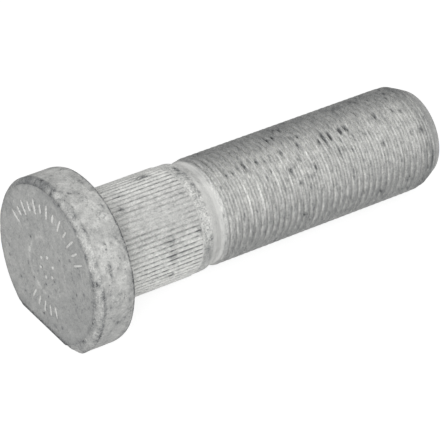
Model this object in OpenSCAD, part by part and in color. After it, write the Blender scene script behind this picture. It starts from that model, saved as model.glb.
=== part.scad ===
// Wheel bolt for a heavy vehicle, pressed into the hub and locked by serrations.
// One forged piece: a round head with one flat, a serrated shank, a short neck,
// a threaded end and a bevelled tip. It lies on a level surface as it comes to rest.

/* [Head] */
// Diameter of the round head
head_d = 35.7; // [32:0.1:42]
// Thickness of the head, from its outer face to its seat
head_t = 8.3; // [6:0.1:12]
// Distance from the axis to the flat that keeps the head from turning
flat_dist = 14; // [12.5:0.1:15.5]
// Radius of the corners where the flat meets the round rim
corner_r = 1.5; // [0.5:0.1:3]
// Height of the step round the disc in the middle of the outer face
disc_step = 0.15; // [0.05:0.05:0.3]
// Width of the rounded bevel round that disc, square to the axis
bevel_w = 1.85; // [0.5:0.05:3]
// Length of the rounded bevel along the axis
bevel_len = 0.95; // [0.4:0.05:2.5]
// Width of the slight rounding at the seat end of the rim, square to the axis
rim_w = 0.25; // [0.1:0.05:0.6]
// Length of that rounding along the axis
rim_len = 1.1; // [0.6:0.1:2.5]

/* [Serrated shank] */
// Diameter of the plain shank at either end of the serrations
shank_d = 22.3; // [21:0.1:24]
// Radius of the fillet between the seat and the shank
fillet_r = 1; // [0.4:0.1:2]
// Plain length between the seat's fillet and the serrations
lead_len = 0.5; // [0.2:0.1:2]
// Length of the serrations along the axis
serration_len = 19; // [12:0.5:24]
// Number of serrations round the shank
serration_count = 68; // [40:1:90]
// Height of the serrations above the plain shank
crest_rise = 0.15; // [0.05:0.05:0.4]
// Depth of the grooves between the serrations, from crest to root
groove_depth = 0.35; // [0.2:0.05:0.7]
// Share of the pitch taken by the narrow land on top of each serration
land_share = 0.35; // [0.2:0.05:0.6]
// Length of the arc that rounds the crests off at each end of the serrations
crest_ramp = 1.2; // [0.6:0.1:3]
// Length of the plain shoulder after the serrations
shoulder_len = 2.3; // [0.5:0.1:5]

/* [Neck] */
// Diameter of the neck before the thread
neck_d = 21; // [19.5:0.1:22]
// Length of the taper from the shoulder down to the neck
taper_len = 2.1; // [0.5:0.1:5]
// Length of the neck at its full depth
neck_len = 1.1; // [0.5:0.1:5]
// Length of the thread's run-out, from the neck up to full diameter
runout_len = 0.9; // [0.3:0.1:3]

/* [Thread] */
// Outside diameter of the thread
thread_d = 22; // [20:0.1:24]
// Length under the head, from the seat to the tip
bolt_len = 81; // [60:1:120]
// Depth of the bevel at the tip, square to the axis
tip_w = 1.85; // [0.5:0.05:3]
// Length of the bevel at the tip, along the axis
tip_len = 3.6; // [1:0.1:6]

/* [Hidden] */

// Radii, from the diameters above
head_r = head_d / 2;
shank_r = shank_d / 2;
crest_r = shank_r + crest_rise;
root_r = crest_r - groove_depth;
neck_r = neck_d / 2;
thread_r = thread_d / 2;
disc_r = head_r - bevel_w;
seat_r = head_r - rim_w;
tip_r = thread_r - tip_w;

// Stations along the axis, measured from the seat towards the tip
serration_start = fillet_r + lead_len;
serration_end = serration_start + serration_len;
shoulder_end = serration_end + shoulder_len;
neck_start = shoulder_end + taper_len;
neck_end = neck_start + neck_len;
thread_start = neck_end + runout_len;
thread_end = bolt_len - tip_len;

// Radius of an arc that leaves a line at a tangent and is then off it by a drop after a run
function arc_radius(run, drop) = (run * run + drop * drop) / (2 * drop);

bevel_r = arc_radius(bevel_w, bevel_len);
rim_r = arc_radius(rim_len, rim_w);
ramp_r = arc_radius(crest_ramp, 2 * crest_rise);

// How the bolt lies: the seat end of the flat and the end of the full thread touch
// the surface, so the axis dips towards the tip by this angle
dip = atan((flat_dist - thread_r) / thread_end);

// The lying bolt's reach either way along X, from the middle of the seat
reach_head = head_t * cos(dip) + min(flat_dist, disc_r) * sin(dip);
reach_tip = bolt_len * cos(dip) + tip_r * sin(dip);

$fn = 96;

// Outline of the head: a circle with one flat on the +X side, whose two corners
// are arcs that touch both the rim and the flat
module head_outline() {
    corner_x = flat_dist - corner_r;
    corner_y = sqrt(pow(head_r - corner_r, 2) - pow(corner_x, 2));
    // Where the corner arc touches the rim, on the line from the axis through its centre
    touch = head_r / (head_r - corner_r);
    intersection() {
        circle(head_r);
        translate([-head_r, -head_r])
            square([head_r + corner_x * touch, 2 * head_r]);
    }
    polygon([
        [corner_x * touch, corner_y * touch],
        [0, 0],
        [corner_x * touch, -corner_y * touch],
        [corner_x, -corner_y],
        [flat_dist, -corner_y],
        [flat_dist, corner_y],
        [corner_x, corner_y],
    ]);
    for (side = [-1, 1])
        translate([corner_x, side * corner_y])
            circle(corner_r);
}

// Half section of the head, from the axis outwards: a disc with a small step round it,
// an arc from the step to the rim, and a flatter arc from the rim to the seat
module head_section() {
    bevel_z = disc_step - head_t;
    intersection() {
        translate([0, -head_t])
            square([head_r, head_t]);
        union() {
            translate([0, -head_t])
                square([disc_r, head_t]);
            translate([disc_r, bevel_z + bevel_r])
                circle(bevel_r);
            translate([0, bevel_z + bevel_len])
                square([head_r, head_t]);
        }
        union() {
            translate([0, -head_t])
                square([head_r, head_t - rim_len]);
            translate([head_r - rim_r, -rim_len])
                circle(rim_r);
            translate([0, -head_t])
                square([head_r - rim_r, head_t]);
        }
    }
}

// Head below the seat, cut to its outline
module head() {
    intersection() {
        rotate_extrude()
            head_section();
        translate([0, 0, -head_t])
            linear_extrude(head_t)
                head_outline();
    }
}

// Plain shank between the seat and the serrations, with its fillet; it starts at
// half the head's depth, so that the two are one piece
module lead() {
    rotate_extrude()
        difference() {
            translate([0, -head_t / 2])
                square([shank_r + fillet_r, head_t / 2 + serration_start]);
            translate([shank_r + fillet_r, fillet_r])
                circle(fillet_r);
            translate([shank_r, fillet_r])
                square([2 * fillet_r, serration_start]);
        }
}

// Section across the serrations: a narrow land on each crest and a sharp groove
// between each two
module serration_outline() {
    pitch = 360 / serration_count;
    land = pitch * land_share / 2;
    polygon([
        for (i = [0 : serration_count - 1], p = [
            [-land, crest_r],
            [land, crest_r],
            [pitch / 2, root_r],
        ])
        p[1] * [cos(i * pitch + p[0]), sin(i * pitch + p[0])]
    ]);
}

// Serrated length of the shank. An arc rounds the crests off at both ends, meets the
// plain shank there and runs on below its surface
module serrations() {
    envelope_r = shank_r + 2 * crest_rise;
    intersection() {
        translate([0, 0, serration_start - crest_ramp])
            linear_extrude(serration_len + 2 * crest_ramp)
                serration_outline();
        rotate_extrude()
            intersection() {
                translate([0, serration_start - crest_ramp])
                    square([envelope_r, serration_len + 2 * crest_ramp]);
                union() {
                    translate([0, serration_start + crest_ramp])
                        square([envelope_r, serration_len - 2 * crest_ramp]);
                    for (z = [serration_start + crest_ramp, serration_end - crest_ramp])
                        translate([envelope_r - ramp_r, z])
                            circle(ramp_r);
                    translate([0, serration_start - crest_ramp])
                        square([envelope_r - ramp_r, serration_len + 2 * crest_ramp]);
                }
            }
    }
}

// Shoulder, taper, neck, thread at its outside diameter and bevelled tip
module threaded_end() {
    rotate_extrude()
        polygon([
            [0, serration_end],
            [shank_r, serration_end],
            [shank_r, shoulder_end],
            [neck_r, neck_start],
            [neck_r, neck_end],
            [thread_r, thread_start],
            [thread_r, thread_end],
            [tip_r, bolt_len],
            [0, bolt_len],
        ]);
}

// The whole bolt, standing on +Z with the middle of its seat at the origin
module standing_bolt() {
    head();
    lead();
    serrations();
    threaded_end();
}

// The bolt as it lies, with its tip towards +X and its flat down
module wheel_bolt() {
    color("silver")
        translate([(reach_head - reach_tip) / 2, 0, flat_dist * cos(dip)])
            rotate([0, 90 + dip, 0])
                standing_bolt();
}

wheel_bolt();
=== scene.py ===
from math import acos, asin, atan2, cos, pi, radians, sin, sqrt

import bpy
import numpy as np
from mathutils import Matrix, Vector


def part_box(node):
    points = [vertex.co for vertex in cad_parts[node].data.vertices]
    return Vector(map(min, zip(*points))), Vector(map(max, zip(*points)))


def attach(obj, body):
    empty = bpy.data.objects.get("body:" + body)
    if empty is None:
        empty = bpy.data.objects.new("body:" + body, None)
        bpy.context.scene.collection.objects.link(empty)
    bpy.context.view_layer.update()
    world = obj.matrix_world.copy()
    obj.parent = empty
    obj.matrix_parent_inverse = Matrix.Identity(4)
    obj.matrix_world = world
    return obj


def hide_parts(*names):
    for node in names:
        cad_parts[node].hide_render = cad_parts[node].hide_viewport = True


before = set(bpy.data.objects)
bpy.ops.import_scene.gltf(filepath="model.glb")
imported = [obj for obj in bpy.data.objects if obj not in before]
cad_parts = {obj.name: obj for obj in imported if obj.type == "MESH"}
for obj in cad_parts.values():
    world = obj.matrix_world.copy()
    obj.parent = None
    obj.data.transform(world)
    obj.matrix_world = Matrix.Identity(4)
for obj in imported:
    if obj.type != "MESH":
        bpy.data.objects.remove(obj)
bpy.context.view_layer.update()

# View
# The camera looks down on the lying bolt from beyond its head, with a long lens, so
# that the head's outer face, the shank and the thread all show.
eye = Vector((-0.30164, -0.39387, 0.38153))
view_azimuth = radians(37.12)
view_dip = radians(37.054)
view_roll = radians(2.215)
lens_mm = 255.4

camera_data = bpy.data.cameras.new("view")
camera_data.lens = lens_mm
camera_data.sensor_width = 36.0
camera_data.clip_start = 0.02
camera_data.clip_end = 20.0
camera = bpy.data.objects.new("view", camera_data)
bpy.context.collection.objects.link(camera)
camera.matrix_world = (
    Matrix.Translation(eye)
    @ Matrix.Rotation(-view_azimuth, 4, "Z")
    @ Matrix.Rotation(pi / 2 - view_dip, 4, "X")
    @ Matrix.Rotation(view_roll, 4, "Z")
)
bpy.context.scene.camera = camera
bpy.context.scene.view_settings.view_transform = "Standard"

# Floor
# A plain pale sheet, level with the lowest point of the bolt, so wide that it fills
# every view from above.
floor_half = 3.0
floor_shade = 0.5  # as the bolt is lit by it
floor_seen_shade = 0.35  # as the camera sees it, with a glow that brings it near white
floor_seen_glow = 0.83


def node_material(name):
    """A new material with an empty node tree; returns it, its nodes and its links."""
    made = bpy.data.materials.new(name)
    made.use_nodes = True
    made.node_tree.nodes.clear()
    return made, made.node_tree.nodes, made.node_tree.links


def seen_rays(nodes, links):
    """Output that is 1 where the camera sees a thing, straight, through glass or mirrored."""
    rays = nodes.new("ShaderNodeLightPath")
    seen = rays.outputs["Is Camera Ray"]
    for kind in ("Is Transmission Ray", "Is Glossy Ray"):
        larger = nodes.new("ShaderNodeMath")
        larger.operation = "MAXIMUM"
        links.new(seen, larger.inputs[0])
        links.new(rays.outputs[kind], larger.inputs[1])
        seen = larger.outputs[0]
    return seen


floor_paint, nodes, links = node_material("pale_floor")
plain = nodes.new("ShaderNodeBsdfDiffuse")
plain.inputs["Color"].default_value = 3 * (floor_shade,) + (1.0,)
shaded = nodes.new("ShaderNodeBsdfDiffuse")
shaded.inputs["Color"].default_value = 3 * (floor_seen_shade,) + (1.0,)
glow = nodes.new("ShaderNodeEmission")
glow.inputs["Strength"].default_value = floor_seen_glow
seen_floor = nodes.new("ShaderNodeAddShader")
links.new(shaded.outputs["BSDF"], seen_floor.inputs[0])
links.new(glow.outputs["Emission"], seen_floor.inputs[1])
either = nodes.new("ShaderNodeMixShader")
links.new(seen_rays(nodes, links), either.inputs["Fac"])
links.new(plain.outputs["BSDF"], either.inputs[1])
links.new(seen_floor.outputs["Shader"], either.inputs[2])
output = nodes.new("ShaderNodeOutputMaterial")
links.new(either.outputs["Shader"], output.inputs["Surface"])

floor_mesh = bpy.data.meshes.new("floor")
floor_mesh.from_pydata(
    [(-floor_half, -floor_half, 0), (floor_half, -floor_half, 0),
     (floor_half, floor_half, 0), (-floor_half, floor_half, 0)],
    [], [(0, 1, 2, 3)],
)
floor_mesh.materials.append(floor_paint)
floor = bpy.data.objects.new("floor", floor_mesh)
bpy.context.collection.objects.link(floor)

# Light
# One wide soft panel from the camera's side lights what faces it, and an even pale
# room fills the rest. What looks past the floor sees a white room.
panel_dip = radians(31)
panel_distance = 0.95
panel_width = 0.55
panel_power = 5.7
panel_aim = Vector((0, 0, 0.012))
room_fill = 0.55


def soft_panel(name, place, aim, width, power):
    """A square area light of this width in metres at place, turned to face aim."""
    lamp = bpy.data.lights.new(name, "AREA")
    lamp.size = width
    lamp.energy = power
    made = bpy.data.objects.new(name, lamp)
    made.location = place
    made.rotation_euler = (aim - place).to_track_quat("-Z", "Y").to_euler()
    bpy.context.collection.objects.link(made)


panel_place = panel_distance * Vector((
    -sin(view_azimuth) * cos(panel_dip), -cos(view_azimuth) * cos(panel_dip), sin(panel_dip)))
soft_panel("front_panel", panel_place, panel_aim, panel_width, panel_power)

world = bpy.data.worlds.new("room")
bpy.context.scene.world = world
world.use_nodes = True
nodes, links = world.node_tree.nodes, world.node_tree.links
nodes.clear()
strength = nodes.new("ShaderNodeMapRange")
strength.inputs["To Min"].default_value = room_fill
strength.inputs["To Max"].default_value = 1.0
links.new(seen_rays(nodes, links), strength.inputs["Value"])
room = nodes.new("ShaderNodeBackground")
links.new(strength.outputs["Result"], room.inputs["Strength"])
output = nodes.new("ShaderNodeOutputWorld")
links.new(room.outputs["Background"], output.inputs["Surface"])

# How the bolt lies
# The bolt is one forged piece, worked out along its own axis from the middle of its
# seat. It touches the floor with the seat end of the head's flat and with the end of
# the full thread, so its axis dips towards the tip.
flat_dist = 0.014
head_depth = 0.0083
thread_radius = 0.011
thread_end = 0.0774
dip = atan2(flat_dist - thread_radius, thread_end)
low_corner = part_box("wheel_bolt")[0]
seat_x = low_corner.x + head_depth * cos(dip) + flat_dist * sin(dip)
seat_z = low_corner.z + flat_dist * cos(dip)


def lay_down(along, across, up):
    """Points of the lying bolt: its own lengths along, across and up, turned by the dip."""
    return np.stack([
        seat_x + along * cos(dip) + up * sin(dip),
        across,
        seat_z - along * sin(dip) + up * cos(dip),
    ], axis=-1)


# Head
# A round forged head with one flat, so that it can't turn against the hub. Its outer
# face has a flat disc with a small step round it, then a rounded bevel that the die
# left uneven, and the rim is slightly rounded where it meets the seat.
head_radius = 0.01784
corner_radius = 0.0015
disc_radius = 0.016
disc_step = 0.00015
bevel_width = 0.00185
bevel_length = 0.00095
rim_width = 0.00025
rim_length = 0.0011
shank_radius = 0.01115
fillet_radius = 0.001
face_ring_radius = 0.0061
face_inset = 0.00001  # how far the mesh stays short of the solid's two end faces
front = radians(227.75)  # angle round the axis that faces the camera, counted from the flat
disc_spread = 0.00025
disc_off_centre = 0.00045
disc_lean = radians(75)
disc_wear_depth = 0.00007
edge_dent_depth = 0.0003
edge_dent_turn = -0.12
edge_dent_width = 0.1
centre_dip_depth = 0.0001
centre_dip_radius = 0.0016
face_ring_depth = 0.00005
face_ring_width = 0.00022
bevel_lump_depth = 0.00008
bevel_lump_rise = 0.00007
edge_line_width = 0.00042
edge_line_wander = 0.0002
side_wear_depth = 0.00003
far_line_width = 0.0004
flat_line_width = 0.0006
flat_band_width = 0.0025
ring_shine_width = 0.0004
bevel_shadow_reach = 0.0007
bevel_shadow_fade = 0.0004
rim_shade_reach = 0.0018
rim_shade_fade = 0.0004
rim_edge_shade_reach = 0.0005
rim_edge_shade_fade = 0.00035
face_shade = 0.42
seat_shade = 0.5
# Stains, then specks on the outer face, then painted highlights on the side: spots tells what a row
# holds
head_spots = [
    (-7.3, -48, 0.35, 0.7, 1.05), (-7.26, -62.3, 0.35, 0.4, 1.85), (-6.35, -39.1, 0.3, 0.4, 0.69),
    (-6.42, -44, 0.3, 0.4, 1.05), (-4.68, -63.9, 0.3, 0.6, 0.5), (-0.71, -37.9, 0.4, 0.8, 0.2),
    (-7.07, -14.4, 0.3, 1.2, 0.31), (-6.97, -12.2, 0.3, 1, 0.39), (-4.46, -0.6, 0.3, 0.4, 1.9),
    (-3.04, -0.3, 0.35, 0.5, 0.47), (-4.68, 12.8, 0.3, 0.9, 0.67), (-4.82, 16.4, 0.3, 1, 1.39),
    (-7.05, 31.2, 0.35, 0.6, 0.91), (-6.99, 27.3, 0.4, 0.4, 0.7), (-6.92, 63.2, 0.3, 1, 1.58),
    (-5.66, 39, 0.3, 0.4, 0.91), (-5.72, 30.3, 0.3, 0.4, 0.55), (-3.61, 54.6, 0.35, 0.5, 1.11),
    (-8.34, 55, 0.3, 1, 1.14), (-2, -54, 0.4, 1, 0.5), (-1.55, -47.1, 0.3, 0.8, 1.18),
    (-7.33, 8.7, 0.25, 0.8, 0.38), (-7.93, -47.8, 0.25, 0.5, 0.69), (-7.25, -34.2, 0.25, 0.5, 0.19),
    (-6.82, -29.9, 0.25, 0.8, 0.7), (-7.31, -24.2, 0.25, 0.8, 0.52), (-5.41, -40.9, 0.3, 0.3, 1.53),
    (-7.02, -8.3, 0.2, 1.5, 0.22), (-6.52, -0.3, 0.2, 1, 0.18), (-3.98, -9.7, 0.25, 0.25, 0.33),
    (-1.67, -2.1, 0.25, 0.4, 0.77), (-1.27, 1, 0.25, 0.4, 0.73), (-0.52, 5.1, 0.25, 0.6, 0.36),
    (-8.11, 37.4, 0.3, 0.9, 0.18), (-7.76, 21.8, 0.3, 0.8, 1.44), (-7.22, 19.6, 0.25, 1, 0.43),
]
speck_places = [
    (6.9, -106), (11.7, -77), (3.9, -178), (4, 133), (3.2, 74), (12, 17), (12.1, 11), (9.7, 2),
    (12.7, 35), (10.1, 42), (11.5, -179), (13.4, -150), (13.7, -159), (6.4, 172), (5.9, -3),
    (6.5, 123), (11.2, 134), (12.2, 103), (12.3, 115), (12.2, 167),
]
speck_radius = 0.32
speck_strength = 1.2
face_specks = [(*place, speck_radius, speck_radius, speck_strength) for place in speck_places]
head_shine = [
    (-4.6, -17, 1.5, 2.6, 0.1), (-3.8, 4, 1.8, 2.6, 0.1), (-4.5, -50, 1.2, 2.5, 0.06),
]

rows_made = {
    "point": [], "place": [], "streak": [], "shade": [], "stain_and_shade": [], "speckle": [], "blotch": []}
point_count = 0
faces = []


def add_rows(
        along, radius, angle, shade=0.5, stain_and_shade=0.0, speckle=0.0, blotch=0.5, streaks=(1.0, 1.0)):
    """Puts rows of points on the bolt and returns their numbers, one row for each station.

    A point is given by its distance along the axis from the seat, its radius and its
    angle round the axis, which starts at the flat and turns right-handed towards the tip.
    Its height over the axis is minus the radius times the cosine of the angle. The shade
    is the coat's paleness with painted light and shade worked in, the darkening value after
    it carries stains and painted shade, speckle and blotch are how much fine grain and broad
    patches it shows, and the two streaks pack the grain along the axis and round it.
    """
    global point_count
    along, radius, angle, shade, stain_and_shade, speckle, blotch = np.broadcast_arrays(
        along, radius, angle, shade, stain_and_shade, speckle, blotch)
    across, up = radius * np.sin(angle), -radius * np.cos(angle)
    place = np.stack([along, across, up], axis=-1).reshape(-1, 3)
    rows_made["point"].append(lay_down(along, across, up).reshape(-1, 3))
    rows_made["place"].append(place)
    rows_made["streak"].append(place * (streaks[0], streaks[1], streaks[1]))
    for name, value in (("shade", shade), ("stain_and_shade", stain_and_shade), ("speckle", speckle), ("blotch", blotch)):
        rows_made[name].append(value.reshape(-1))
    numbers = point_count + np.arange(along.size).reshape(along.shape)
    point_count += along.size
    return numbers


def skin(rows):
    """Closes the strips between neighbouring rows with four-sided faces that face out."""
    here, there = rows[:-1], rows[1:]
    faces.extend(np.stack([
        here, np.roll(here, -1, axis=1), np.roll(there, -1, axis=1), there,
    ], axis=-1).reshape(-1, 4).tolist())


def ripple(angle, along, seed, waves=9, turns=14, pitch=0.004):
    """Smooth unevenness about zero: a sum of cosines over the unrolled surface.

    Each wave makes a whole number of turns round the axis, up to turns, so that the
    surface closes. Along the axis no wave is shorter than pitch metres.
    """
    draw = np.random.default_rng(seed)
    around = draw.integers(-turns, turns + 1, waves)
    forward = draw.uniform(-1, 1, waves) * 2 * pi / pitch
    start = draw.uniform(0, 2 * pi, waves)
    total = sum(np.cos(n * angle + k * along + c) for n, k, c in zip(around, forward, start))
    return total / sqrt(waves)


def turn_from_front(angle):
    """Signed turn from the front to an angle, between minus half a turn and half a turn."""
    return (angle - front + pi) % (2 * pi) - pi


def by_turn(angle, *stops):
    """A value that runs in straight steps round the axis, and round the back to its start.

    Each stop is the turn from the front in degrees and the value there.
    """
    turns, values = zip(*stops)
    return np.interp(turn_from_front(angle), np.radians(turns), values, period=2 * pi)


def spots(angle, along, radius, table):
    """Soft spots on the surface, each a bell over its own length and width.

    A row of the table has the distance from the seat in mm, the angle from the front in
    degrees, the half length along and the half width round in mm, and the strength. On
    the head's outer face the first value is the distance from the axis instead.
    """
    total = 0.0
    for middle, turn, length, width, strength in table:
        ahead = (along - middle / 1000) / (length / 1000)
        aside = turn_from_front(angle - radians(turn)) * radius / (width / 1000)
        total = total + strength * np.exp(-ahead ** 2 - aside ** 2)
    return total


def arc_radius(run, drop):
    """Radius of an arc that leaves a line at a tangent and is off it by drop after run."""
    return (run * run + drop * drop) / (2 * drop)


corner_x = flat_dist - corner_radius
corner_y = sqrt((head_radius - corner_radius) ** 2 - corner_x ** 2)
flat_end = atan2(corner_y, flat_dist)
rim_start = atan2(corner_y, corner_x)
disc_corner = acos(flat_dist / disc_radius)


def head_outline(angle):
    """Radius of the head's outline at an angle: the flat, then a corner arc, then free.

    The flat lies at flat_dist over the cosine of the angle. On the corner arc it is the
    far crossing of the ray with a circle of corner_radius that touches flat and rim.
    """
    off = np.abs((angle + pi) % (2 * pi) - pi)
    flat = flat_dist / np.maximum(np.cos(off), 0.1)
    reach = head_radius - corner_radius
    turned = off - rim_start
    under = np.maximum(corner_radius ** 2 - (reach * np.sin(turned)) ** 2, 0)
    corner = reach * np.cos(turned) + np.sqrt(under)
    return np.where(off < flat_end, flat, np.where(off < rim_start, corner, head_radius))


def spread(stops, counts):
    """Values that run from stop to stop in even steps, without the last stop."""
    return np.concatenate([
        np.linspace(start, stop, count, endpoint=False)
        for start, stop, count in zip(stops[:-1], stops[1:], counts)
    ])


half_counts = [22, 7, 9, 98]
half_stops = [0, disc_corner, flat_end, rim_start, pi]
one_side = spread(half_stops, half_counts)
other_side = 2 * pi - spread(half_stops[::-1], half_counts[::-1])
head_angle = np.concatenate([one_side, other_side])[None, :]
outline = head_outline(head_angle)
roughness = by_turn(
    head_angle, (-180, 0.25), (-85, 0.3), (-62, 0.3), (-48, 1), (95, 1), (125, 0.3))
wear = (1 + ripple(head_angle, 0, 3, waves=12, turns=26)).clip(0, 3)
disc_wear = disc_wear_depth * roughness * wear
from_dent = turn_from_front(head_angle) - edge_dent_turn
disc_wear = disc_wear + edge_dent_depth * np.exp(-(from_dent / edge_dent_width) ** 2)

# Disc in the middle of the outer face, struck a little off centre towards the top
disc_shift = disc_off_centre * np.cos(turn_from_front(head_angle) + disc_lean)
disc_reach = disc_radius + disc_spread + disc_shift
face_inner = np.array([
    0.5, 1.1, 1.7, 2.3, 2.8, 3.2, 3.6, 4.0, 4.5, 5.0, 5.4, 5.75, 5.95, 6.1, 6.25, 6.45, 6.8,
    7.2, 7.8, 8.6, 9.3, 9.8, 10.2, 10.6,
])[:, None] / 1000
face_share = np.array([
    0.07, 0.14, 0.21, 0.28, 0.35, 0.42, 0.49, 0.56, 0.63, 0.7, 0.78, 0.85, 0.91, 0.955, 0.985, 1.0,
])[:, None]
disc_edge = np.minimum(disc_reach - disc_wear, outline)
face_radius = np.vstack([
    face_inner + 0 * head_angle,
    face_inner[-1] + (disc_edge - face_inner[-1]) * face_share,
])
face_ring = np.exp(-((face_radius - face_ring_radius) / face_ring_width) ** 2)
centre_dip = centre_dip_depth * np.exp(-(face_radius / centre_dip_radius) ** 2)
to_edge = disc_edge - face_radius
# Painted shade in the step round the disc, set by the turn from the front
disc_edge_shade = by_turn(
    head_angle, (-180, 0), (-110, 0), (-88, 0.5), (-40, 0.65), (-10, 0.7), (20, 1), (40, 0.7),
    (87, 0.6), (100, 0.3))
disc_edge_shade = disc_edge_shade * (1 + 0.35 * ripple(head_angle, 0, 9, waves=12, turns=40)).clip(0.3, 1.6)
edge_width = by_turn(
    head_angle, (-180, 0.0004), (-75, 0.0004), (-55, 0.0009), (-38, 0.0009), (-25, 0.0004),
    (25, 0.0004), (45, 0.0007), (75, 0.0006))
# Painted shade along the step round the disc, darker lines along the outer contour and along the
# flat, then the single specks
face_stain_and_shade = 0.6 * disc_edge_shade * np.exp(-(to_edge / edge_width) ** 2) * (disc_edge < outline)
far_line = by_turn(head_angle, (-180, 0.8), (-105, 0.6), (-88, 0), (92, 0), (110, 1.1), (150, 1))
face_stain_and_shade = face_stain_and_shade + 0.45 * far_line * np.exp(-(to_edge / far_line_width) ** 2)
to_flat = flat_dist - face_radius * np.cos(head_angle)
# Darker along the flat's edge: a thin line and a wide faint band
face_stain_and_shade = face_stain_and_shade + 1.3 * np.exp(-(to_flat / flat_line_width) ** 2)
face_stain_and_shade = face_stain_and_shade + 0.2 * np.exp(-(to_flat / flat_band_width) ** 2)
face_stain_and_shade = face_stain_and_shade + spots(head_angle, face_radius, face_radius, face_specks)
face_fade = by_turn(
    head_angle, (-180, 0), (-60, 0), (0, 0.02), (42, 0.055), (87, 0.12), (120, 0.05), (150, 0))
face_fade = face_fade * np.minimum(face_radius / 0.011, 1)
ring_shine = by_turn(
    head_angle, (-180, 0.22), (-145, 0.3), (-100, 0.2), (-50, 0.1), (60, 0.1), (120, 0.2))
ring_shine = ring_shine * np.exp(-((face_radius - face_ring_radius) / ring_shine_width) ** 2)
face_rows = add_rows(
    face_inset - head_depth + centre_dip - face_ring_depth * face_ring, face_radius, head_angle,
    shade=face_shade * (1 - face_fade) * (1 + ring_shine), stain_and_shade=face_stain_and_shade, speckle=0.45, blotch=0.8)
centre = add_rows(
    face_inset - head_depth + centre_dip_depth, np.zeros((1, 1)), 0.0, shade=face_shade)[0, 0]
faces.extend(np.stack([
    np.full(head_angle.size, centre), np.roll(face_rows[0], -1), face_rows[0],
], axis=-1).tolist())

# Step and bevel round the disc
bevel_arc = arc_radius(bevel_width, bevel_length)
bevel_turn = atan2(bevel_width, bevel_arc - bevel_length)
bevel_angle = np.linspace(0, bevel_turn, 14)[:, None]
bevel_share = bevel_angle / bevel_turn
bevel_along = -head_depth + disc_step + bevel_arc * (1 - np.cos(bevel_angle))
bevel_radius = disc_reach + (head_radius - disc_reach) * np.sin(bevel_angle) / sin(bevel_turn)
bevel_radius = bevel_radius - (1 - bevel_share) ** 2 * disc_wear
lumps = ripple(head_angle, bevel_along, 6, waves=24, turns=60, pitch=0.0015)
lumps = roughness * (1 + lumps).clip(0)
bevel_radius = bevel_radius - bevel_lump_depth * lumps * np.sin(pi * bevel_share)
bevel_along = bevel_along + bevel_lump_rise * lumps * (bevel_share > 0)
bevel_end = -head_depth + disc_step + bevel_length
# Coat tone of the bevel round the axis, with painted light and shade by the turn from the front;
# its upper part carries a painted shade
bevel_shade = by_turn(
    head_angle, (-180, 0.5), (-100, 0.5), (-40, 0.56), (-15, 0.525), (20, 0.53), (40, 0.5),
    (65, 0.47), (90, 0.43), (120, 0.43))
shaded_bevel = by_turn(
    head_angle, (-180, 0), (-100, 0), (-88, 0.8), (-75, 1.0), (-60, 1.0), (-55, 0.7),
    (-50, 0.35), (-42, 0))
bevel_shade = bevel_shade * (1 - 0.45 * shaded_bevel)


def edge_line(angle, along):
    """Darkening along the line where bevel and side meet: a thin bell that wanders round."""
    wander = edge_line_wander * ripple(angle, 0, 21, waves=8, turns=22)
    wander = wander + by_turn(
        angle, (-180, 0), (10, 0), (24, 0.00025), (36, 0.00025), (48, 0.0001), (62, 0.00025),
        (95, 0.0002), (120, 0))
    strength = by_turn(
        angle, (-180, 0.2), (-70, 0.1), (-40, 0.05), (22, 0.1), (30, 0.35), (36, 0.7), (60, 0.8),
        (85, 0.45), (110, 0.3))
    return strength * np.exp(-((along - bevel_end - wander) / edge_line_width) ** 2)


# On the bevel: the step's painted shade running onto it, painted shade on its shaded part, the
# contour line, the dark line at its end and the stains
edge_shade_reach = by_turn(
    head_angle, (-180, 0.3), (-70, 0.35), (-50, 0.45), (-38, 0.4), (-25, 0.18), (20, 0.18),
    (35, 0.55), (60, 0.6), (90, 0.45), (110, 0.2))
bevel_stain_and_shade = 0.7 * disc_edge_shade * np.exp(-(bevel_share / edge_shade_reach) ** 2) + 0.2 * shaded_bevel
bevel_stain_and_shade = bevel_stain_and_shade + far_line * np.clip(bevel_share / 0.4, 0, 1)
bevel_stain_and_shade = bevel_stain_and_shade + edge_line(head_angle, bevel_along)
bevel_stain_and_shade = bevel_stain_and_shade + spots(head_angle, bevel_along, head_radius, head_spots)
bevel_rows = add_rows(
    bevel_along, np.minimum(bevel_radius, outline), head_angle,
    shade=bevel_shade, stain_and_shade=bevel_stain_and_shade, speckle=0.7, blotch=1.6)

# Side of the head, with the rounding at its seat end
rim_arc = arc_radius(rim_length, rim_width)
rim_angle = np.linspace(0, asin(rim_length / rim_arc), 7)[1:, None]
# The rows stand closer together near the bevel, where the dark line runs
plain_side = np.concatenate([
    bevel_end + np.linspace(0.00015, 0.00105, 7),
    np.linspace(bevel_end + 0.00135, -rim_length, 16),
])[:, None]
side_along = np.concatenate([plain_side, -rim_length + rim_arc * np.sin(rim_angle)])
side_radius = np.concatenate([
    np.full_like(plain_side, head_radius), head_radius - rim_arc * (1 - np.cos(rim_angle))])
uneven = side_wear_depth * roughness * (ripple(head_angle, side_along, 5) - 2.2).clip(-6, 0)
# Coat tone round the axis with painted light and shade worked in, and a painted highlight above the
# front
side_shade = by_turn(
    head_angle, (-180, 0.52), (-80, 0.55), (-60, 0.575), (-45, 0.54), (-38, 0.55), (-30, 0.7),
    (-20, 0.535), (-10, 0.51), (0, 0.525), (10, 0.6), (20, 0.51), (30, 0.5), (50, 0.48),
    (62, 0.465), (75, 0.425), (100, 0.46))
side_shade = side_shade * (1 + spots(head_angle, side_along, head_radius, head_shine))
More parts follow.
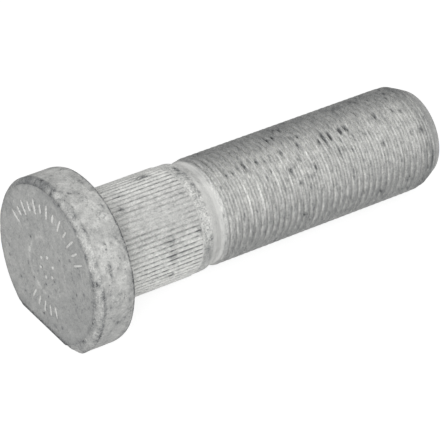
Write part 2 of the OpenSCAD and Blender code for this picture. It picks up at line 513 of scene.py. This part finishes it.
# Painted shade of the bevel's shaded part, carried a short way onto the side
past_bevel = np.clip((bevel_end + bevel_shadow_reach - side_along) / bevel_shadow_fade, 0, 1)
past_bevel = shaded_bevel * past_bevel
side_shade = side_shade * (1 - 0.4 * past_bevel)
side_stain_and_shade = edge_line(head_angle, side_along)
side_stain_and_shade = side_stain_and_shade + spots(head_angle, side_along, head_radius, head_spots)
# Painted shade on the rounding at the seat end, darker still at its very edge
rim_shade = np.clip((side_along + rim_shade_reach) / rim_shade_fade, 0, 1)
rim_edge_shade = np.clip((side_along + rim_edge_shade_reach) / rim_edge_shade_fade, 0, 1)
side_stain_and_shade = side_stain_and_shade + 0.2 * past_bevel + 0.22 * rim_shade
side_stain_and_shade = side_stain_and_shade + 0.9 * rim_edge_shade
side_rows = add_rows(
    side_along, np.minimum(side_radius + uneven, outline), head_angle,
    shade=side_shade, stain_and_shade=side_stain_and_shade, speckle=0.4, blotch=1.3)

# Seat, and the fillet up to the shank
seat_share = np.linspace(0, 1, 5)[1:, None]
seat_outer = np.minimum(head_radius - rim_width, outline)
seat_radius = seat_outer + (shank_radius + fillet_radius - seat_outer) * seat_share
seat_rows = add_rows(0.0, seat_radius, head_angle, shade=seat_shade, speckle=0.6)
fillet_angle = np.linspace(0, pi / 2, 6)[1:, None]
fillet_rows = add_rows(
    fillet_radius * (1 - np.cos(fillet_angle)),
    shank_radius + fillet_radius * (1 - np.sin(fillet_angle)),
    head_angle, shade=seat_shade, speckle=0.6)
skin(np.vstack([face_rows, bevel_rows, side_rows, seat_rows, fillet_rows]))

# Serrated shank
# Straight serrations rolled into the shank, which bite into the hub's hole. Each has a
# narrow land and sharp grooves beside it, and a few are pressed flat from handling.
serration_start = 0.0015
serration_length = 0.019
serration_count = 68
crest_rise = 0.00015
groove_depth = 0.00035
land_share = 0.35
crest_ramp = 0.0012
pressed_depth = 0.00006
pressed_patches = [(12, -10, 7, 2.6, 0.6), (16, 2, 3, 1.5, 0.4)]
serration_end = serration_start + serration_length
crest_radius = shank_radius + crest_rise
ramp_arc = arc_radius(crest_ramp, 2 * crest_rise)
tooth_phase = np.array([-land_share / 2, 0, land_share / 2, 0.28, 0.39, 0.5, 0.61, 0.72])
tooth_angle = (np.arange(serration_count)[:, None] + tooth_phase) * 2 * pi / serration_count
tooth_angle = tooth_angle.reshape(1, -1)
shank_spots = [
    (13.5, 21, 0.5, 1.7, 0.5), (13.4, 33, 0.5, 1.4, 0.5),
    (13.12, 18.7, 0.7, 0.7, 0.18), (13.33, 36.8, 0.6, 0.9, 0.5), (14.03, 7.3, 0.9, 0.8, 0.27),
    (20.18, 18, 0.5, 0.5, 1.6), (19.13, -23.5, 0.7, 0.35, 0.41), (6.08, -28.5, 0.4, 0.5, 1.5),
    (13.49, 59.5, 0.5, 0.4, 1.9), (11.9, 60, 0.4, 0.4, 1.4), (7.68, -45.3, 0.5, 0.4, 0.36),
    (14.75, -62.7, 1.8, 1, 1.09),
]


def serration_surface(angle, along):
    """Radius and groove depth of the serrations at an angle and a distance along.

    The phase runs from 0 on a land's middle to 0.5 in a groove, and the radius falls
    from crest to root in a straight flank between the land's edge and the groove. Where
    they are pressed, groove and crest move together. An arc rounds off both ends.
    """
    phase = np.abs((angle * serration_count / (2 * pi) + 0.5) % 1.0 - 0.5)
    fall = np.clip((phase - land_share / 2) / (0.5 - land_share / 2), 0, 1)
    patch = spots(angle, along, shank_radius, pressed_patches)
    pressed = np.clip(patch + 0.13 * ripple(angle, along, 8, turns=60, pitch=0.003), 0, 0.85)
    radius = crest_radius - pressed_depth * pressed - groove_depth * fall * (1 - pressed)
    inward = np.minimum(along - serration_start, serration_end - along)
    sunk = np.clip(crest_ramp - inward, 0, crest_ramp)
    rounded = crest_radius + crest_rise - (ramp_arc - np.sqrt(ramp_arc ** 2 - sunk ** 2))
    return np.minimum(radius, rounded), fall * (1 - pressed)


def bridge(fine, coarse, fine_first):
    """Joins a row to one with fewer points: each coarse point takes a fan of fine ones."""
    share = len(fine) // len(coarse)
    step = np.arange(len(fine))
    middle = coarse[((step + share // 2) // share) % len(coarse)]
    corner = (np.arange(len(coarse)) * share + (share - share // 2)) % len(fine)
    turn = np.stack([coarse, np.roll(coarse, -1), fine[corner]], axis=-1)
    fan = np.stack([fine, np.roll(fine, -1), middle], axis=-1)
    if fine_first:
        turn = turn[:, [1, 0, 2]]
    else:
        fan = fan[:, [1, 0, 2]]
    faces.extend(fan.tolist())
    faces.extend(turn.tolist())


serration_along = np.concatenate([
    serration_start + np.array([0.00005, 0.0002, 0.0004, 0.0006]),
    np.linspace(serration_start + crest_ramp, serration_end - crest_ramp, 22),
    serration_end - np.array([0.0006, 0.0004, 0.0002, 0.00005]),
])[:, None]
tooth_radius, tooth_groove = serration_surface(tooth_angle, serration_along)
# Painted shade in the grooves, set by the turn from the front and weaker near the head
painted_groove_shade = by_turn(
    tooth_angle, (-180, 0.9), (-75, 1.7), (-50, 1.5), (-38, 0.9), (-25, 0.6), (-5, 0.7), (10, 0.85),
    (25, 0.95), (38, 1.3), (52, 2.0), (75, 1.9), (110, 1.0))
painted_groove_shade = painted_groove_shade * np.interp(serration_along, (0.003, 0.009), (0.5, 1.0))
tooth_stain_and_shade = painted_groove_shade * tooth_groove ** 2
tooth_stain_and_shade = tooth_stain_and_shade + 1.1 * spots(tooth_angle, serration_along, shank_radius, shank_spots)
# Coat tone round the axis, with painted light and shade by the turn from the front
serration_shade = by_turn(
    tooth_angle, (-180, 0.64), (-75, 0.78), (-60, 0.84), (-45, 0.78), (-20, 0.66), (-8, 0.61),
    (3, 0.62), (15, 0.68), (40, 0.72), (60, 0.76), (85, 0.7))
lead_row = add_rows(serration_start, shank_radius, tooth_angle, shade=serration_shade)
serration_rows = add_rows(
    serration_along, tooth_radius, tooth_angle,
    shade=serration_shade, stain_and_shade=tooth_stain_and_shade, speckle=0.6, blotch=0.5, streaks=(0.5, 1.0))
shoulder_row = add_rows(serration_end, shank_radius, tooth_angle, shade=serration_shade)
skin(np.vstack([lead_row, serration_rows, shoulder_row]))
bridge(lead_row[0], fillet_rows[-1], fine_first=False)

# Neck
# A short plain shoulder tapers down to the neck, which is as thick as the blank that
# the thread was rolled on. The taper is the smoothest part of the bolt, and its palest,
# from its coat and from painted light.
shoulder_length = 0.0023
taper_length = 0.0021
neck_radius = 0.0105
neck_lump_depth = 0.00003
paint_fade = 0.0006
grain_fade = 0.001
plain_columns = 136
shoulder_end = serration_end + shoulder_length
neck_start = shoulder_end + taper_length
plain_angle = (np.arange(plain_columns) * 2 * pi / plain_columns)[None, :]
shoulder_spots = [
    (22.24, -53.8, 0.4, 0.9, 0.67), (22.81, -44.5, 0.4, 0.5, 0.54), (22.48, -38.8, 0.3, 0.4, 0.48),
    (22.52, -28.2, 0.4, 0.4, 0.98), (22.62, -23.1, 0.5, 0.4, 0.34), (22.76, -17.8, 0.4, 0.4, 0.86),
    (22.37, -59.7, 0.5, 0.7, 0.43), (21.71, 42, 0.5, 1, 0.52), (22.5, 30.9, 0.4, 0.6, 0.76),
    (21.66, -47.3, 0.4, 0.4, 0.72), (22.86, -4.5, 0.3, 0.4, 0.29),
]


def neck_profile(along):
    """Radius of shoulder, taper and neck: the taper eases in and out of both."""
    share = np.clip((along - shoulder_end) / taper_length, 0, 1)
    return shank_radius + (neck_radius - shank_radius) * share * share * (3 - 2 * share)


neck_along = np.concatenate([
    np.linspace(serration_end + 0.0004, shoulder_end, 7),
    np.linspace(shoulder_end + 0.0002, neck_start - 0.0009, 5),
])[:, None]
neck_lumps = ripple(plain_angle, neck_along, 11, waves=16, turns=40, pitch=0.002)
neck_lumps = neck_lump_depth * (1 + neck_lumps).clip(0)
neck_lumps = neck_lumps * (neck_along < shoulder_end + 0.0003)
# Coat tone of shoulder and neck round the axis, with painted light and shade by the turn from the
# front
shoulder_shade = by_turn(
    plain_angle, (-180, 0.56), (-75, 0.75), (-60, 0.7), (-50, 0.6), (-38, 0.62), (-20, 0.7),
    (-10, 0.7), (0, 0.63), (15, 0.65), (30, 0.58), (40, 0.52), (50, 0.44), (60, 0.48), (80, 0.55))
neck_shade = by_turn(
    plain_angle, (-180, 0.64), (-70, 0.79), (-55, 0.715), (-45, 0.665), (-40, 0.61),
    (-32, 0.715), (-20, 0.77), (0, 0.69), (10, 0.66), (30, 0.64), (50, 0.645), (75, 0.72))
neck_patches = by_turn(
    plain_angle, (-180, 0.5), (-80, 0.9), (-40, 1.0), (-25, 0.8), (-5, 0.35), (60, 0.35), (90, 0.5))
to_neck = np.clip((neck_along - shoulder_end) / paint_fade, 0, 1)
neck_paint = shoulder_shade + (neck_shade - shoulder_shade) * to_neck
grain_left = (shoulder_end + paint_fade - neck_along) / grain_fade
neck_rows = add_rows(
    neck_along, neck_profile(neck_along) - neck_lumps, plain_angle,
    shade=neck_paint, stain_and_shade=1.8 * spots(plain_angle, neck_along, shank_radius, shoulder_spots),
    speckle=np.clip(grain_left, 0.1, 1.0), blotch=np.clip(grain_left, neck_patches, 1.0))
skin(neck_rows)
bridge(shoulder_row[0], neck_rows[0], fine_first=True)

# Thread
# A rolled M22 x 1.5 thread. Its rows follow the helix, so that each crest and root is
# a clean line, and they close on themselves one pitch further along.
pitch = 0.0015
thread_depth = 0.61343 * pitch
runout_start = 0.0259
runout_end = 0.0267
bolt_length = 0.081
tip_length = 0.0036
tip_width = 0.00185
thread_turns = 36
first_line = 0.0241  # where the first row of points starts, still on the neck
growth_start = 0.0003  # past the run-out, where the grooves begin
growth_turns = 1.1  # turns over which they grow to their full depth
tip_wear_depth = 0.0001
tip_wear_width = 0.0013
# Stains are placed as they show on the outside; below it they shift by this share of depth
depth_shift = 0.66
crest_phase = np.array([0.0, 0.0625, 0.125, 0.4375, 0.5625, 0.6875, 0.78, 0.875, 0.95])
crest_fall = np.array([0.0, 0.0, 0.0, 1.0, 1.04, 1.0, 0.7, 0.4, 0.16])
thread_spots = [
    (30.09, -26.9, 0.2, 0.5, 0.69), (31.78, -26.1, 0.2, 0.6, 1.01), (33.29, -29.5, 0.2, 0.6, 0.6),
    (34.79, -29.6, 0.25, 1, 1.51), (36.29, -32.3, 0.2, 0.6, 1), (37.8, -29.4, 0.2, 0.6, 1.28),
    (39.4, -26.5, 0.2, 0.5, 0.54), (43.41, -54, 0.3, 0.5, 0.9), (44.99, -55.9, 0.3, 0.6, 0.9),
    (43.8, -29.9, 0.25, 0.7, 0.96), (48.1, -44.9, 0.25, 0.5, 1.3), (49.69, -42.5, 0.2, 0.5, 1.3),
    (48.29, -32.4, 0.2, 0.6, 0.88), (54.3, -30.5, 0.2, 1.9, 1.15), (52.91, -26.5, 0.22, 0.7, 0.7),
    (55.76, -28.6, 0.19, 1.1, 1.05), (57.5, -20.1, 0.2, 0.7, 0.5), (58.58, -30.5, 0.34, 0.8, 1.2),
    (60.05, -31.4, 0.32, 0.8, 1.6), (57.4, -9.8, 0.2, 0.4, 0.9), (59.02, -4.5, 0.2, 0.4, 0.75),
    (67.71, -32.6, 0.25, 0.7, 0.88), (72.11, -32.5, 0.2, 0.5, 0.91), (73.7, -28.1, 0.25, 0.5, 0.69),
    (74.21, -59.5, 0.3, 0.35, 0.8), (67.01, -67.8, 0.6, 0.5, 0.71), (47.68, -66.5, 0.8, 0.6, 0.7),
    (76.09, 0, 0.35, 0.7, 0.76), (43.81, -6.1, 0.5, 0.6, 0.79), (49.54, -1.4, 0.4, 0.5, 0.47),
    (56.09, -8.1, 0.25, 0.9, 0.69), (45.05, 10, 0.6, 0.4, 0.35), (66.59, 1.5, 0.3, 0.5, 0.74),
    (45.51, 50, 0.4, 0.5, 0.7), (64.99, 58, 0.6, 0.5, 0.7), (72.1, 53, 0.6, 0.5, 0.6),
    (62.45, -65.5, 0.7, 0.5, 0.6), (77.85, 36.5, 0.5, 2.5, 0.36),
]
# Single lines and short bands of painted highlight and painted shade, paler where the strength is
# positive, else darker
thread_tones = [
    (26.6, -58, 0.3, 3.4, -0.55), (27.15, -60, 0.22, 2.6, 0.3), (28.25, -56, 0.3, 2.4, -0.45),
    (28.9, -57, 0.25, 2.4, 0.45), (29.6, -55, 0.25, 2.2, -0.35),
    (26.1, -15, 0.25, 3.5, 0.2), (26.1, 8, 0.25, 2.0, 0.12),
    (32.5, 8, 0.35, 3.4, 0.9), (35.5, 8, 0.35, 3.0, 0.7), (40.0, 3, 0.35, 3.2, 0.6),
    (43.2, 4, 0.3, 2.4, 0.4), (46.2, -2, 0.3, 2.0, 0.3), (52.0, 12, 0.3, 2.4, 0.3),
]


def helix_line(phase, middle, width):
    """A soft line that follows the helix: a bell about its middle, in shares of the pitch."""
    return np.exp(-(((phase - middle + 0.5) % 1.0 - 0.5) / width) ** 2)


samples = len(crest_phase)
line = np.arange(thread_turns * samples)
line_start = first_line + pitch * (line // samples + crest_phase[line % samples])
thread_along = line_start[:, None] + pitch * plain_angle / (2 * pi)
grown = (thread_along - runout_start - growth_start) / (growth_turns * pitch)
grown = np.clip(grown, 0, 1) ** 0.7
fall = crest_fall[line % samples][:, None] * grown
rise = np.clip((thread_along - runout_start) / (runout_end - runout_start), 0, 1)
thread_body = neck_profile(thread_along) + (thread_radius - neck_radius) * rise
thread_body = thread_body - thread_depth * fall
tip_slope = tip_width / tip_length
tip_worn = tip_wear_depth * np.exp(-((thread_along - thread_end) / tip_wear_width) ** 2)
thread_surface = np.minimum(
    thread_body - tip_worn, thread_radius - tip_worn - tip_slope * (thread_along - thread_end))
# Coat tone round the axis, with painted light and shade by the turn from the front, darkest along
# the top
thread_shade = by_turn(
    plain_angle, (-180, 0.62), (-115, 0.56), (-85, 0.42), (-68, 0.36), (-50, 0.47), (-40, 0.565),
    (-20, 0.63), (0, 0.61), (20, 0.565), (30, 0.5), (40, 0.455), (50, 0.415), (60, 0.4),
    (78, 0.4), (90, 0.46), (115, 0.56))
# Four soft lines along the helix paint light and shade onto crest, root and the two flanks, by the
# turn from the front
crest_tone = by_turn(
    plain_angle, (-110, 0), (-58, -0.33), (-42, -0.27), (-27, -0.07), (2, 0.11), (17, 0.08),
    (32, -0.28), (47, -0.34), (105, 0))
crest_middle = by_turn(
    plain_angle, (-58, 0.01), (-42, 0.02), (-27, 0.09), (-12, 0.04), (20, 0.05), (32, 0.07),
    (47, 0.01))
root_tone = by_turn(
    plain_angle, (-110, 0), (-58, 0), (-42, 0.1), (-27, 0.07), (2, -0.05), (32, -0.15),
    (47, -0.24), (105, 0))
pale_tone = by_turn(
    plain_angle, (-110, 0), (-58, 0.32), (-42, 0.42), (-27, 0.22), (-15, 0.12), (17, 0.17),
    (32, 0.45), (47, 0.56), (105, 0))
pale_middle = by_turn(plain_angle, (-58, 0.77), (-42, 0.69), (-27, 0.68), (-8, 0.77), (47, 0.78))
dark_tone = by_turn(
    plain_angle, (-110, 0), (-58, 0.06), (-42, -0.21), (-27, -0.25), (2, -0.35), (17, -0.3),
    (32, -0.1), (47, 0.07), (105, 0))
dark_middle = by_turn(plain_angle, (-58, 0.88), (-42, 0.88), (-27, 0.84), (-8, 0.885), (47, 0.88))
phase = crest_phase[line % samples][:, None]
line_tone = (
    crest_tone * helix_line(phase, crest_middle, 0.1)
    + root_tone * helix_line(phase, 0.5, 0.15)
    + pale_tone * helix_line(phase, pale_middle, 0.06)
    + dark_tone * helix_line(phase, dark_middle, 0.05))
on_thread = np.clip((thread_along - runout_start) / 0.0004, 0, 1)
thread_paint = neck_shade + (thread_shade * (1 + grown * line_tone) - neck_shade) * on_thread
# Painted shade where the last turns run out onto the tip's bevel, easing to a little paler at its
# end
thread_paint = thread_paint * np.interp(
    thread_along,
    (0.0752, 0.0765, 0.0775, 0.0785, 0.0792, 0.0796), (1.0, 0.87, 0.83, 0.76, 0.9, 1.05))
seen_along = thread_along - depth_shift * (thread_radius - thread_surface)
band_tone = spots(plain_angle, seen_along, thread_radius, thread_tones)
thread_paint = thread_paint * (1 + 0.5 * band_tone)
# Painted shade deepening into the grooves, and the stains
thread_stain_and_shade = 0.1 * fall + 2.0 * spots(plain_angle, seen_along, thread_radius, thread_spots)
thread_rows = add_rows(
    thread_along, thread_surface, plain_angle,
    shade=thread_paint, stain_and_shade=thread_stain_and_shade, speckle=0.1 + 0.85 * on_thread,
    blotch=0.4, streaks=(1.3, 0.25))

here, there = thread_rows[:-1], thread_rows[1:]
faces.extend(np.stack([
    here[:, :-1], here[:, 1:], there[:, 1:], there[:, :-1],
], axis=-1).reshape(-1, 4).tolist())
# The strip from the last column to the first, which goes on one pitch further along
wrap = thread_rows[samples:, 0]
faces.extend(np.stack([
    here[:len(wrap) - 1, -1], wrap[:-1], wrap[1:], there[:len(wrap) - 1, -1],
], axis=-1).tolist())


def close_helix(ring, edge, step, ring_first):
    """Joins a plain ring to the helical edge of the thread.

    The edge's first column starts one pitch away from where its last column ends, and
    step is the short run of points that joins the two. It is closed with a fan.
    """
    sides = np.stack([ring[:-1], ring[1:], edge[1:], edge[:-1]], axis=-1)
    if ring_first:
        corner = [ring[-1], ring[0], step[0], edge[-1]]
        fan = [[edge[-1], low, high] for low, high in zip(step[:-1], step[1:])]
    else:
        sides = sides[:, ::-1]
        corner = [edge[-1], edge[0], ring[0], ring[-1]]
        fan = [[edge[0], high, low] for low, high in zip(step[:-1], step[1:])]
    faces.extend(sides.tolist())
    faces.append(corner)
    faces.extend(fan)


close_helix(neck_rows[-1], thread_rows[0], thread_rows[:samples + 1, 0], ring_first=True)

# Tip
# The thread ends in a bevel that leads the nut on, with the last turns running out over
# it, and in a plain end face. Both carry the same coat as the rest.
tip_shade = 0.46
tip_radius = thread_radius - tip_width
tip_start = thread_along[-1, -1] + 0.0001
tip_end = bolt_length - face_inset
tip_along = np.linspace(tip_start, tip_end, 4)[:, None]
tip_rows = add_rows(
    tip_along, thread_radius - tip_slope * (tip_along - thread_end), plain_angle,
    shade=tip_shade, speckle=0.6)
end_share = np.array([0.97, 0.7, 0.4, 0.12])[:, None]
end_rows = add_rows(tip_end, tip_radius * end_share, plain_angle, shade=tip_shade, speckle=0.6)
skin(np.vstack([tip_rows, end_rows]))
last = add_rows(tip_end, np.zeros((1, 1)), 0.0, shade=tip_shade)[0, 0]
faces.extend(np.stack([
    end_rows[-1], np.roll(end_rows[-1], -1), np.full(plain_columns, last),
], axis=-1).tolist())
close_helix(tip_rows[0], thread_rows[-1], thread_rows[-samples - 1:, -1], ring_first=False)

# Coat
# The whole bolt carries a matte grey zinc coat, speckled with small dark spots where it
# is thin. Painted light makes it lighter on the ribs and crests, painted shade darker in
# the grooves.
coat_relief = 0.00014
crease_angle = radians(40)
coat, nodes, links = node_material("zinc_coat")


def reading(name, output):
    """Output of a node that reads one of the values kept on the bolt's points."""
    node = nodes.new("ShaderNodeAttribute")
    node.attribute_name = name
    return node.outputs[output]


def noise(vector, per_metre, detail, roughness=0.6):
    """Output of a noise texture with so many cells per metre of the given place."""
    node = nodes.new("ShaderNodeTexNoise")
    node.inputs["Scale"].default_value = per_metre
    node.inputs["Detail"].default_value = detail
    node.inputs["Roughness"].default_value = roughness
    links.new(vector, node.inputs["Vector"])
    return node.outputs["Fac"]


def span(value, low, high, to_low, to_high):
    """Value carried from the range low to high onto to_low to to_high, and held there."""
    node = nodes.new("ShaderNodeMapRange")
    ends = {"From Min": low, "From Max": high, "To Min": to_low, "To Max": to_high}
    for name, amount in ends.items():
        node.inputs[name].default_value = amount
    links.new(value, node.inputs["Value"])
    return node.outputs["Result"]


def combine(operation, first, second):
    """Output of a math node over two values, each a number or another node's output."""
    node = nodes.new("ShaderNodeMath")
    node.operation = operation
    for socket, value in zip(node.inputs, (first, second)):
        if isinstance(value, (int, float)):
            socket.default_value = value
        else:
            links.new(value, socket)
    return node.outputs[0]


# Broad patches, fine grain, pits, flecks and cracks change the shade; stains and painted shade come
# last
place = reading("place", "Vector")
streak = reading("streak", "Vector")
speckle = reading("speckle", "Fac")
blotch = reading("blotch", "Fac")
patchy = noise(place, 260, 3)
mottle = noise(place, 620, 5, 0.65)
grain = noise(streak, 2600, 3, 0.7)
grit = noise(place, 3800, 2)
flecks = noise(streak, 1900, 2, 0.5)
broad = combine("MULTIPLY", combine("SUBTRACT", mottle, 0.5), 0.8)
broad = combine("ADD", broad, combine("MULTIPLY", combine("SUBTRACT", patchy, 0.5), 0.75))
broad = combine("MULTIPLY", broad, blotch)
unrest = combine("MULTIPLY", combine("SUBTRACT", grit, 0.5), 1.2)
unrest = combine("ADD", unrest, combine("MULTIPLY", combine("SUBTRACT", grain, 0.5), 1.5))
unrest = combine("MULTIPLY", unrest, speckle)
unrest = combine("ADD", unrest, broad)
tone = combine("MULTIPLY", reading("shade", "Fac"), combine("ADD", 1.0, unrest))
crowd = combine("MULTIPLY", blotch, span(noise(place, 400, 2), 0.45, 0.62, 0.0, 1.0))
pits = combine("MULTIPLY", span(noise(place, 1500, 2, 0.4), 0.31, 0.36, 1, 0), crowd)
dark_fleck = combine("MAXIMUM", pits, combine("MULTIPLY", span(flecks, 0.3, 0.38, 1, 0), speckle))
pale_fleck = combine("MULTIPLY", span(flecks, 0.64, 0.72, 0, 1), speckle)
tone = combine("MULTIPLY", tone, combine("SUBTRACT", 1.0, combine("MULTIPLY", dark_fleck, 0.4)))
tone = combine("MULTIPLY", tone, combine("ADD", 1.0, combine("MULTIPLY", pale_fleck, 0.25)))
contour = combine("ABSOLUTE", combine("SUBTRACT", noise(place, 330, 3, 0.6), 0.5), 0.0)
crack = combine("MULTIPLY", span(contour, 0.004, 0.016, 1, 0), crowd)
tone = combine("MULTIPLY", tone, combine("SUBTRACT", 1.0, combine("MULTIPLY", crack, 0.3)))
ragged = span(noise(streak, 1800, 4, 0.75), 0.38, 0.6, 0.25, 1.35)
# Stains and painted shade darken the tone last
stain_and_shade = span(combine("MULTIPLY", reading("stain_and_shade", "Fac"), ragged), 0.0, 1.25, 0.0, 0.8)
tone = combine("MULTIPLY", tone, combine("SUBTRACT", 1.0, stain_and_shade))
tint = nodes.new("ShaderNodeValToRGB")
tint.color_ramp.elements[0].color = (0.0, 0.0, 0.0, 1.0)
tint.color_ramp.elements[1].color = (1.0, 1.0, 0.97, 1.0)
for stop, shade in ((0.2, (0.196, 0.202, 0.205, 1.0)), (0.5, (0.5, 0.503, 0.491, 1.0))):
    tint.color_ramp.elements.new(stop).color = shade
links.new(tone, tint.inputs["Fac"])
relief = nodes.new("ShaderNodeBump")
relief.inputs["Strength"].default_value = 1.0
relief.inputs["Distance"].default_value = coat_relief
links.new(combine("ADD", grain, combine("MULTIPLY", mottle, 1.5)), relief.inputs["Height"])
surface = nodes.new("ShaderNodeBsdfPrincipled")
surface.inputs["Metallic"].default_value = 0.12
surface.inputs["Roughness"].default_value = 0.6
surface.inputs["Specular IOR Level"].default_value = 0.3
surface.inputs["Diffuse Roughness"].default_value = 0.4
links.new(tint.outputs["Color"], surface.inputs["Base Color"])
links.new(relief.outputs["Normal"], surface.inputs["Normal"])
output = nodes.new("ShaderNodeOutputMaterial")
links.new(surface.outputs["BSDF"], output.inputs["Surface"])


def coated(name, points, sides, values):
    """An object with the zinc coat, whose points carry the values that the coat reads."""
    mesh = bpy.data.meshes.new(name)
    mesh.from_pydata(points.tolist(), [], sides)
    for value_name in ("shade", "stain_and_shade", "speckle", "blotch"):
        stored = mesh.attributes.new(value_name, "FLOAT", "POINT")
        stored.data.foreach_set("value", values[value_name].astype(np.float32))
    for value_name in ("place", "streak"):
        stored = mesh.attributes.new(value_name, "FLOAT_VECTOR", "POINT")
        stored.data.foreach_set("vector", values[value_name].astype(np.float32).reshape(-1))
    mesh.polygons.foreach_set("use_smooth", np.ones(len(mesh.polygons), dtype=bool))
    mesh.set_sharp_from_angle(angle=crease_angle)
    mesh.materials.append(coat)
    made = bpy.data.objects.new(name, mesh)
    bpy.context.collection.objects.link(made)
    return made


bolt_values = {name: np.concatenate(value) for name, value in rows_made.items()}
bolt = coated("coated_bolt", bolt_values["point"], faces, bolt_values)
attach(bolt, "root")
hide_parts("wheel_bolt")

# Marks on the head
# Plain raised bars that the forging die leaves on the outer face: a row of them round its
# upper edge, a short row over the flat, and a ring of small pips round the middle.
mark_counts = (13, 5, 6)
upper_count, flat_count, pip_count = mark_counts
mark_turns = np.radians(np.concatenate([
    np.linspace(116, 236, upper_count), np.linspace(-24, 24, flat_count),
    np.linspace(0, 300, pip_count)]))
mark_middle = np.repeat((0.0123, 0.0092, 0.0023), mark_counts)
mark_half = np.repeat((0.0017, 0.0013, 0.0004), mark_counts)
mark_half[1:upper_count:2] = 0.0011
mark_width = np.repeat((0.00026, 0.00026, 0.00035), mark_counts)
mark_height = np.repeat((0.00025, 0.00012, 0.00015), mark_counts)
# Painted highlight: the bars are paler than the face around them
mark_shade = 0.67
mark_rings = 7
mark_points = 18


def rounded(value, power):
    """A sine or cosine raised to a power with its sign kept, which squares a circle off."""
    return np.sign(value) * np.abs(value) ** power


def per_mark(values):
    """One value for each mark, set up to be spread over the rings and points of its mesh."""
    return values[:, None, None]


ring_angle = np.linspace(0.05, pi - 0.05, mark_rings)[None, :, None]
round_angle = (np.arange(mark_points) * 2 * pi / mark_points)[None, None, :]
girth = rounded(np.sin(ring_angle), 0.6)
mark_out = per_mark(mark_half) * girth * rounded(np.cos(round_angle), 0.5)
mark_out = per_mark(mark_middle) + mark_out
mark_off = per_mark(mark_width) * girth * rounded(np.sin(round_angle), 0.7)
mark_rise = per_mark(mark_height) * np.cos(ring_angle) + 0 * mark_out
mark_turn = per_mark(mark_turns)
mark_along = face_inset - head_depth - mark_rise
mark_across = mark_out * np.sin(mark_turn) + mark_off * np.cos(mark_turn)
mark_up = -mark_out * np.cos(mark_turn) + mark_off * np.sin(mark_turn)
mark_number = np.arange(mark_out.size).reshape(mark_out.shape)
here, there = mark_number[:, :-1], mark_number[:, 1:]
mark_sides = np.stack([
    here, np.roll(here, -1, axis=2), np.roll(there, -1, axis=2), there,
], axis=-1).reshape(-1, 4).tolist()
mark_sides += mark_number[:, 0, ::-1].tolist() + mark_number[:, -1].tolist()
mark_place = np.stack([mark_along, mark_across, mark_up], axis=-1).reshape(-1, 3)
mark_values = {
    "place": mark_place,
    "streak": mark_place,
    "shade": np.full(len(mark_place), mark_shade),
    # Painted shadow at the foot of each bar
    "stain_and_shade": (0.9 * (ring_angle > 1.2) + 0 * mark_out).reshape(-1),
    "speckle": np.full(len(mark_place), 0.5),
    "blotch": np.full(len(mark_place), 0.35),
}
laid_marks = lay_down(mark_along, mark_across, mark_up).reshape(-1, 3)
marks = coated("head_marks", laid_marks, mark_sides, mark_values)
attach(marks, "root")
